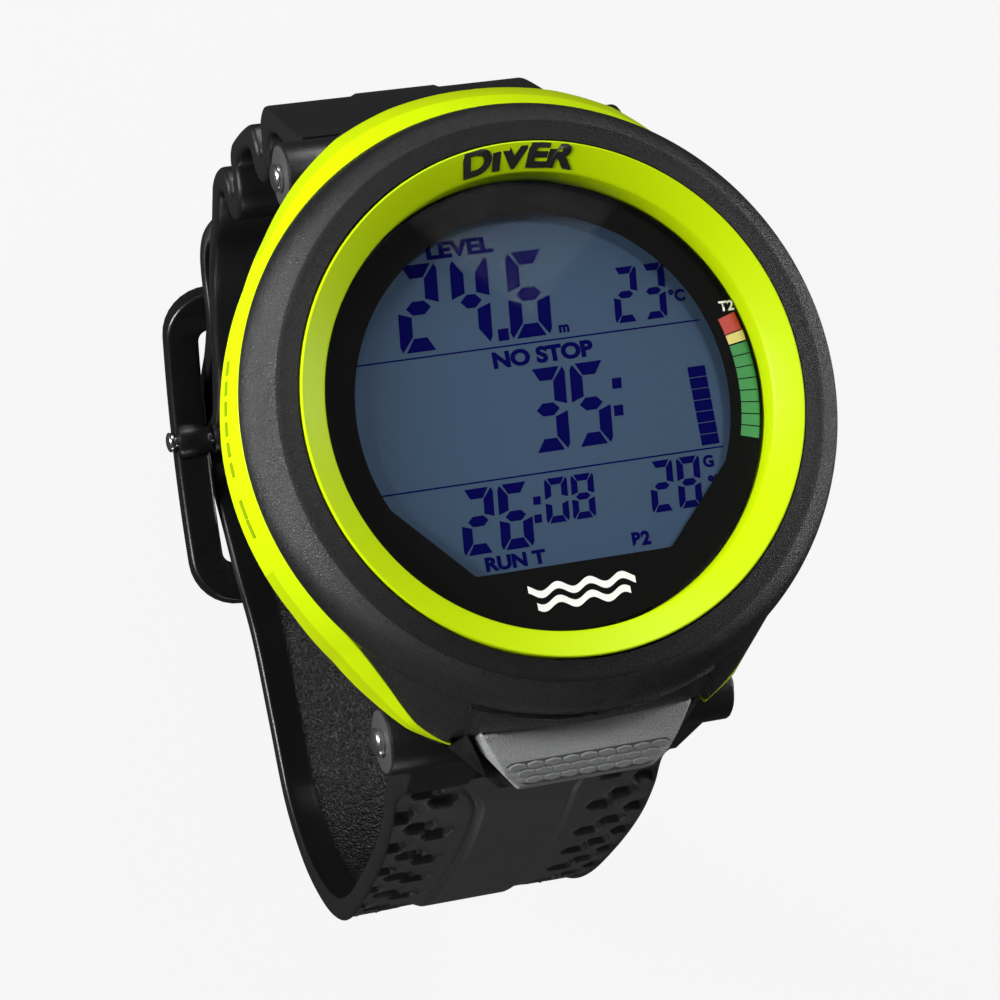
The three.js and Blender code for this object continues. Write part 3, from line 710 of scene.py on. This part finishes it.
def at_face(x, u, lift=0.0):
    """A point on the button's lower face: u runs from its upper edge (0) to its lip (1)."""
    y0, z0 = SIDE[3]
    y1, z1 = SIDE[5]
    size = math.hypot(y1 - y0, z1 - z0)
    ny, nz = (z1 - z0) / size, -(y1 - y0) / size
    return (x, y0 + (y1 - y0) * u + ny * lift, z0 + (z1 - z0) * u + nz * lift)


button = hull("button_cap", [(s * plan_half(y), y, z) for y, z in SIDE for s in (-1, 1)], BUTTON, "button", 0.75)
finish(button, "button_plastic", "button")
relief = []
face_length = math.hypot(SIDE[5][0] - SIDE[3][0], SIDE[5][1] - SIDE[3][1])
panel = [(-9.6, 0.12), (-10.2, 0.22), (-8.3, 0.84), (-7.4, 0.93), (7.4, 0.93), (8.3, 0.84), (10.2, 0.22), (9.6, 0.12)]
panel_verts = [at_face(x, u, lift) for lift in (-0.15, 0.05) for x, u in panel]
panel_faces = [tuple(range(8, 16))] + [(q, (q + 1) % 8, 8 + (q + 1) % 8, 8 + q) for q in range(8)]
# The recessed panel between the cells is painted dark: painted shade.
relief.append(mesh("cell_panel", panel_verts, panel_faces, BUTTON_RECESS_SHADE, None, smooth=False))
for r in range(3):
    u = 0.27 + 0.245 * r
    limit = plan_half(at_face(0, u)[1]) - 1.9
    for k in range(-5, 6):
        x = (k + 0.5 * (r % 2)) * 2.2
        if abs(x) > limit:
            continue
        size = 1.16
        ring = [(x + size * math.cos(math.radians(60 * q + 30)), u + size * 0.46 * math.sin(math.radians(60 * q + 30)) / face_length) for q in range(6)]
        small = [(x + (a - x) * 0.84, u + (b - u) * 0.84) for a, b in ring]
        v = [at_face(a, b, 0.0) for a, b in ring] + [at_face(a, b, 0.24) for a, b in small]
        f = [tuple(range(6, 12))] + [(q, (q + 1) % 6, 6 + (q + 1) % 6, 6 + q) for q in range(6)]
        relief.append(mesh("cell", v, f, BUTTON_FLAT, None, smooth=False))
honeycomb = joined("button_honeycomb", relief)
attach(honeycomb, "button")
finish(honeycomb, "button_plastic")

# ---------------------------------------------------------------- lugs
LUG_Y, LUG_Z, LUG_R = 34.3, 3.9, 4.15
for end, body, tag in ((1, "upper_strap", "upper"), (-1, "lower_strap", "lower")):
    for side in (-1, 1):
        y = end * LUG_Y
        tagged = f"{tag}_{'left' if side < 0 else 'right'}"
        finish(rod(f"knuckle_{tagged}", LUG_R, side * 9.35, side * 21.45, y, LUG_Z, BELLOWS, body), "strap_rubber")
        finish(rod(f"knuckle_end_{tagged}", LUG_R - 0.35, side * 21.2, side * 21.62, y, LUG_Z, LUG_GREY, body, ease=0.12), "strap_rubber")
        finish(dome(f"lug_rivet_{tagged}", 1.75, 0.6, side * 22.15, y, LUG_Z, side, STEEL, "case"), "bare_steel")
        circle = [(s * side, y + 4.0 * math.cos(a), LUG_Z + 4.0 * math.sin(a)) for s in (9.4, 18.4) for a in np.linspace(0, 2 * math.pi, 24, endpoint=False)]
        block_end = [(s * side, end * yy, zz) for s in (9.4, 17.5) for yy, zz in ((38.5, -3.5), (33.6, -4.2), (40.6, -5.5), (35.6, -6.5))]
        finish(hull(f"shoulder_{tagged}", circle + block_end, BELLOWS, body, 0.5), "strap_rubber")


# ---------------------------------------------------------------- buckle
ARC_Y, ARC_Z, ARC_IN, ARC_OUT = -3.1, -18.1, 71.6, 75.0
ARC_FROM, ARC_TO = -2.2, 34.1
PIN_ANGLE, PIN_PATH = 17, 72.3


def on_arc(angle, radius):
    a = math.radians(angle)
    return ARC_Y + radius * math.sin(a), ARC_Z - radius * math.cos(a)


PIN_Y, PIN_Z = on_arc(PIN_ANGLE, PIN_PATH)


def rounded_rect(x0, x1, y0, y1, r, n=9):
    points = []
    for cx, cy, a in ((x1 - r, y1 - r, 0), (x0 + r, y1 - r, 90), (x0 + r, y0 + r, 180), (x1 - r, y0 + r, 270)):
        points += arc(cx, cy, r, a, a + 90, n)
    return points


def buckle():
    middle = (ARC_FROM + ARC_TO) / 2
    mid_r = (ARC_IN + ARC_OUT) / 2
    reach = math.radians(ARC_TO - ARC_FROM) / 2 * mid_r
    bar = math.radians(3.8) * mid_r
    curve = bpy.data.curves.new("buckle", "CURVE")
    curve.dimensions = "2D"
    curve.fill_mode = "BOTH"
    for points in (rounded_rect(-20.1, 20.1, -reach + 0.5, reach - 0.5, 6.2), rounded_rect(-16.4, 16.4, -reach + bar + 0.5, reach - bar - 0.5, 2.0)):
        line = curve.splines.new("POLY")
        line.points.add(len(points) - 1)
        for p, (x, y) in zip(line.points, points):
            p.co = (x, y, 0, 1)
        line.use_cyclic_u = True
    curve.extrude = 1.15
    curve.bevel_depth = 0.5
    curve.bevel_resolution = 3
    holder = bpy.data.objects.new("buckle_curve", curve)
    bpy.context.collection.objects.link(holder)
    bpy.context.view_layer.update()
    data = bpy.data.meshes.new_from_object(holder.evaluated_get(bpy.context.evaluated_depsgraph_get()))
    bpy.data.objects.remove(holder)
    work = bmesh.new()
    work.from_mesh(data)
    bmesh.ops.remove_doubles(work, verts=work.verts, dist=1e-4)
    for y in np.arange(-reach, reach, 1.2):
        bmesh.ops.bisect_plane(work, geom=work.verts[:] + work.edges[:] + work.faces[:], plane_co=(0, y, 0), plane_no=(0, 1, 0), dist=1e-5)
    for v in work.verts:
        a = math.radians(middle) + v.co.y / mid_r
        r = mid_r - v.co.z
        v.co = row([(v.co.x, ARC_Y + r * math.sin(a), ARC_Z - r * math.cos(a))])[0]
    bmesh.ops.recalc_face_normals(work, faces=work.faces)
    work.to_mesh(data)
    work.free()
    data.materials.clear()
    data.materials.append(PLASTIC)
    for p in data.polygons:
        p.use_smooth = True
    data.set_sharp_from_angle(angle=math.radians(40))
    obj = bpy.data.objects.new("buckle_body", data)
    bpy.context.collection.objects.link(obj)
    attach(obj, "buckle_frame")
    return obj


finish(buckle(), "buckle_plastic", "buckle_frame")
for side in (-1, 1):
    tagged = "left" if side < 0 else "right"
    finish(rod(f"buckle_boss_{tagged}", 2.6, side * 15.95, side * 20.45, PIN_Y, PIN_Z, PLASTIC, "buckle_frame", ease=0.4), "buckle_plastic")
    finish(dome(f"buckle_rivet_{tagged}", 1.45, 0.5, side * 21.35, PIN_Y, PIN_Z, side, STEEL, "upper_strap_end"), "bare_steel")
    finish(rod(f"strap_eye_{tagged}", 2.4, side * 2.1, side * 15.2, PIN_Y, PIN_Z, BELLOWS, "upper_strap_end"), "strap_rubber")

# ---------------------------------------------------------------- lower strap: one swept surface with moulded relief
LOWER_FACE = [(-40.2, -3.2), (-41.2, -10.5), (-44.5, -16), (-47.8, -23.5), (-51, -34.5), (-53.6, -47), (-53.6, -56.5), (-50.8, -65.3), (-45, -74),
              (-36, -80.3), (-24, -82.6), (-12, -84.4), on_arc(0, 70), on_arc(6, 73), on_arc(11.5, 76.7), on_arc(PIN_ANGLE, 78.2),
              on_arc(22.5, 76.7), on_arc(27.3, 72.1), on_arc(31.8, 70.1), (39.7, -75.9), (44.6, -73.1), (47.2, -68.2)]


def tread(s, x, length):
    """Relief of the strap's outer face in millimetres: s along it, x across it."""
    ax = np.abs(x)
    band = 5.5 + 4.0 * smooth(13, 3, s)
    h = 0.5 * smooth(band + 0.5, band, ax) - 0.55
    h = h - 0.3 * np.exp(-(((ax - band - 0.8) / 0.3) ** 2))
    zone = smooth(5, 7, s) * smooth(122, 118, s)
    pitch = 7.6
    for column, shift in ((16.4, 0.0), (13.5, 0.42), (10.9, 0.74)):
        ds = (s - shift * pitch) % pitch - pitch / 2
        d = np.maximum(np.abs(ds) - 1.35, (np.abs(ax - column) + np.abs(ds) * 0.56 - 1.95) * 0.87)
        h = h + 0.16 * zone * np.exp(-(((d - 0.3) / 0.18) ** 2))
        h = h - 1.1 * zone * smooth(0.14, -0.12, d)
    slots = smooth(length - 105, length - 103, s) * smooth(length - 8, length - 10, s)
    ds = (s - (length - 56)) % 11.5 - 5.75
    h = h - 1.2 * slots * smooth(0.15, -0.1, np.maximum(ax - 1.9, np.abs(ds) - 3.6))
    return h


def lower_strap():
    stations, across, inside = 860, 131, 61
    path, tangent, length = spline(LOWER_FACE, stations)
    verts, stipple = [], []
    for i in range(stations):
        u = i / (stations - 1)
        s = u * length
        thick = 4.4 + (3.1 - 4.4) * float(smooth(0, 0.09, u)) - 0.6 * float(smooth(0.3, 0.6, u))
        half = 17.5 - 2.3 * float(smooth(0.02, 0.6, u))
        tail = max(0.0, (s - (length - 10)) / 10)
        half -= 8 * (1 - math.sqrt(max(0.0, 1 - tail**2))) * 0.55
        (y, z), (ty, tz) = path[i], tangent[i]
        ny, nz = tz, -ty  # outwards, away from the wrist
        ring = []
        xs = np.linspace(-half + 0.45, half - 0.45, across)
        for x, h in zip(xs, tread(np.full(across, s), xs, length)):
            ring.append((x, h, 0))
        for a in (60, 30, 0, -30, -60):
            c = math.radians(a)
            ring.append((half - 0.45 + 0.45 * math.cos(c), -0.45 + 0.45 * math.sin(c) if a >= 0 else -thick + 0.45 + 0.45 * math.sin(c), 0))
        xs = np.linspace(half - 0.45, -half + 0.45, inside)
        for x in xs:
            lining = float(smooth(half - 4.2, half - 4.6, abs(x)))
            ring.append((x, -thick + 0.16 * lining, lining))
        for a in (-60, -30, 0, 30, 60):
            c = math.radians(a)
            ring.append((-half + 0.45 - 0.45 * math.cos(c), -0.45 + 0.45 * math.sin(c) if a >= 0 else -thick + 0.45 + 0.45 * math.sin(c), 0))
        for x, h, lining in ring:
            verts.append((x, y + ny * h, z + nz * h))
            stipple.append(lining)
    m = len(ring)
    faces = grid_faces(stations, m, False, True) + [tuple(range(m)), tuple(range((stations - 1) * m, stations * m))[::-1]]
    data = bpy.data.meshes.new("lower_strap_look")
    data.from_pydata([tuple(v) for v in row(verts)], [], faces)
    for look in (RUBBER, STIPPLE, BELLOWS):
        data.materials.append(look)
    work = bmesh.new()
    work.from_mesh(data)
    bmesh.ops.recalc_face_normals(work, faces=work.faces)
    work.to_mesh(data)
    work.free()
    data.attributes.new("stipple", "FLOAT", "POINT").data.foreach_set("value", stipple)
    inner_first, inner_last = across + 5, across + 5 + inside
    index = np.zeros(len(data.polygons), int)
    loops = np.array([p.vertices[0] % m for p in data.polygons])
    index[(loops >= inner_first) & (loops < inner_last)] = 1
    index[((loops >= across) & (loops < inner_first)) | (loops >= inner_last)] = 2
    data.polygons.foreach_set("material_index", index)
    data.polygons.foreach_set("use_smooth", np.ones(len(data.polygons), bool))
    data.set_sharp_from_angle(angle=math.radians(55))
    obj = bpy.data.objects.new("lower_strap_look", data)
    bpy.context.collection.objects.link(obj)
    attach(obj, "lower_strap")
    return obj


finish(lower_strap(), "strap_rubber", "lower_strap")

# ---------------------------------------------------------------- upper strap: bellows and thin tail
UPPER_OUT = [(39.4, 1.5), (41.6, -3.0), (45.0, -9.0), (47.6, -14.2), (47.9, -16.2), (47.0, -18.6), (44.6, -19.8), (43.2, -21.3), (43.6, -23.2), (46.0, -23.9),
             (48.1, -25.2), (48.9, -29.5), (49.2, -35.5), (49.0, -39.0), (47.6, -40.9), (45.0, -41.5), (43.3, -43.0), (43.8, -45.0), (46.4, -45.9), (48.2, -47.6),
             (48.7, -51.5), (48.1, -55.2), (46.6, -57.3), (44.2, -60.6), (42.4, -64.5), (38.4, -70.3), (33.6, -74.6), (27.2, -79.2), (21.4, -83.9)]
UPPER_IN = [(20.6, -86.6), (19.2, -84.6), (25.4, -77.0), (31.8, -72.6), (36.4, -68.6), (40.0, -63.2), (41.8, -58.6), (43.4, -55.6), (45.4, -53.0), (45.6, -50.6),
            (44.0, -48.6), (41.4, -47.2), (40.1, -44.6), (40.3, -41.4), (42.0, -39.0), (45.6, -37.6), (46.6, -35.0), (46.4, -30.5), (45.2, -27.6), (42.2, -26.6),
            (40.4, -24.8), (39.9, -21.8), (40.6, -18.8), (43.0, -16.6), (43.9, -13.8), (42.2, -9.6), (38.6, -4.6), (36.6, -2.8)]


def upper_strap():
    count = 210
    outer, _, _ = spline(UPPER_OUT, count)
    fine, _, _ = spline(UPPER_IN[::-1], 900)
    nearest = np.array([np.argmin(np.hypot(*(fine - p).T)) for p in outer], float)
    nearest = np.maximum.accumulate(nearest)
    nearest[0], nearest[-1] = 0, len(fine) - 1
    padded = np.r_[np.full(7, nearest[0]), nearest, np.full(7, nearest[-1])]
    station = np.convolve(padded, np.ones(15) / 15, "valid")
    station = (station - station[0]) / (station[-1] - station[0]) * (len(fine) - 1)
    inner = np.stack([np.interp(station, np.arange(len(fine)), fine[:, k]) for k in (0, 1)], 1)[::-1]
    loop = np.vstack([outer, inner])
    n = len(loop)
    tangent = np.roll(loop, -1, 0) - np.roll(loop, 1, 0)
    tangent /= np.linalg.norm(tangent, axis=1)[:, None]
    area = 0.5 * np.sum(loop[:, 0] * np.roll(loop[:, 1], -1) - np.roll(loop[:, 0], -1) * loop[:, 1])
    outward = np.stack([tangent[:, 1], -tangent[:, 0]], 1) * (1 if area > 0 else -1)
    half = np.interp(-loop[:, 1], [-2, 8, 20, 58, 75], [17.5, 17.5, 17.2, 16.0, 15.2])
    outer_share = np.r_[np.ones(count), np.zeros(count)]
    verts = []
    sections = [(-1, 0.0, 0.6), (-1, 0.14, 0.24), (-1, 0.36, 0.07), (-1, 0.65, 0.0)]
    sections += [(x, None, 0.0) for x in np.linspace(-14.2, 14.2, 45)]
    sections += [(1, 0.65, 0.0), (1, 0.36, 0.07), (1, 0.14, 0.24), (1, 0.0, 0.6)]
    for side, inset, shrink in sections:
        if inset is None:
            x = np.full(n, side)
        else:
            x = side * (half - inset)
        band = 0.3 * smooth(5.8, 5.2, np.abs(x)) * outer_share * smooth(-60, -57, loop[:, 1])
        p = loop + outward * (band - shrink)[:, None]
        verts += [(a, b, c) for a, (b, c) in zip(x, p)]
    m = len(sections)
    faces = grid_faces(m, n, False, True)
    for first in (0, (m - 1) * n):
        faces += [(first + i, first + i + 1, first + n - 2 - i, first + n - 1 - i) for i in range(count - 1)]
    obj = mesh("upper_strap_look", verts, faces, BELLOWS, None, angle=60)
    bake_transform(obj)
    return obj


finish(upper_strap(), "strap_rubber", "upper_strap_lug", "upper_strap_bellows", "upper_strap_end")

# ---------------------------------------------------------------- floor, light, camera
low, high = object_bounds()
floor_data = bpy.data.meshes.new("floor")
reach = 4.0
floor_data.from_pydata([(-reach, -reach, low.z), (reach, -reach, low.z), (reach, reach, low.z), (-reach, reach, low.z)], [], [(0, 1, 2, 3)])
FLOOR = material("floor", (0.6, 0.6, 0.6), 0.9, spec=0.0, emit=0.0)
FLOOR.node_tree.nodes["Principled BSDF"].inputs["Emission Color"].default_value = (1, 1, 1, 1)
FLOOR.node_tree.nodes["Principled BSDF"].inputs["Base Color"].default_value = (0.02, 0.02, 0.02, 1)
seen = FLOOR.node_tree.nodes.new("ShaderNodeLightPath")
glow = FLOOR.node_tree.nodes.new("ShaderNodeMapRange")
glow.inputs["To Min"].default_value = 0.02
glow.inputs["To Max"].default_value = 0.9
FLOOR.node_tree.links.new(seen.outputs["Is Camera Ray"], glow.inputs["Value"])
FLOOR.node_tree.links.new(glow.outputs["Result"], FLOOR.node_tree.nodes["Principled BSDF"].inputs["Emission Strength"])
floor_data.materials.append(FLOOR)
floor = bpy.data.objects.new("floor", floor_data)
bpy.context.collection.objects.link(floor)

world = bpy.data.worlds.new("world")
bpy.context.scene.world = world
world.use_nodes = True
world.node_tree.nodes["Background"].inputs["Color"].default_value = (1, 1, 1, 1)
world.node_tree.nodes["Background"].inputs["Strength"].default_value = 0.08


def lamp(name, place, size, power, target=(0, 0, -0.02), size_y=None):
    data = bpy.data.lights.new(name, "AREA")
    data.shape = "RECTANGLE"
    data.size = size
    data.size_y = size_y or size
    data.energy = power
    o = bpy.data.objects.new(name, data)
    bpy.context.collection.objects.link(o)
    o.location = place
    o.rotation_euler = (Vector(target) - Vector(place)).to_track_quat("-Z", "Y").to_euler()
    return o


lamp("left_softbox", (-0.56, 0.14, 0.14), 0.16, 8.5, size_y=0.5)
lamp("right_rim", (0.52, 0.02, 0.0), 0.12, 2.4, size_y=0.45)
lamp("top_fill", (0.1, 0.55, 0.32), 0.25, 1.9)
lamp("front_fill", (0.2, 0.2, 0.6), 0.12, 1.7)
lamp("low_front", (-0.15, -0.5, -0.22), 0.3, 3.6, target=(0, -0.05, -0.07))

camera_data = bpy.data.cameras.new("camera")
camera_data.sensor_width = 36
camera_data.lens = 126.29
camera_data.clip_start = 0.01
camera = bpy.data.objects.new("camera", camera_data)
bpy.context.collection.objects.link(camera)
turn = Matrix(((0.9465, 0.1412, -0.29), (-0.1803, 0.9771, -0.1127), (0.2674, 0.159, 0.9504)))
camera.matrix_world = Matrix.Translation((-0.12395, -0.05551, 0.37878)) @ turn.to_4x4()
bpy.context.scene.camera = camera
bpy.context.scene.view_settings.view_transform = "Standard"
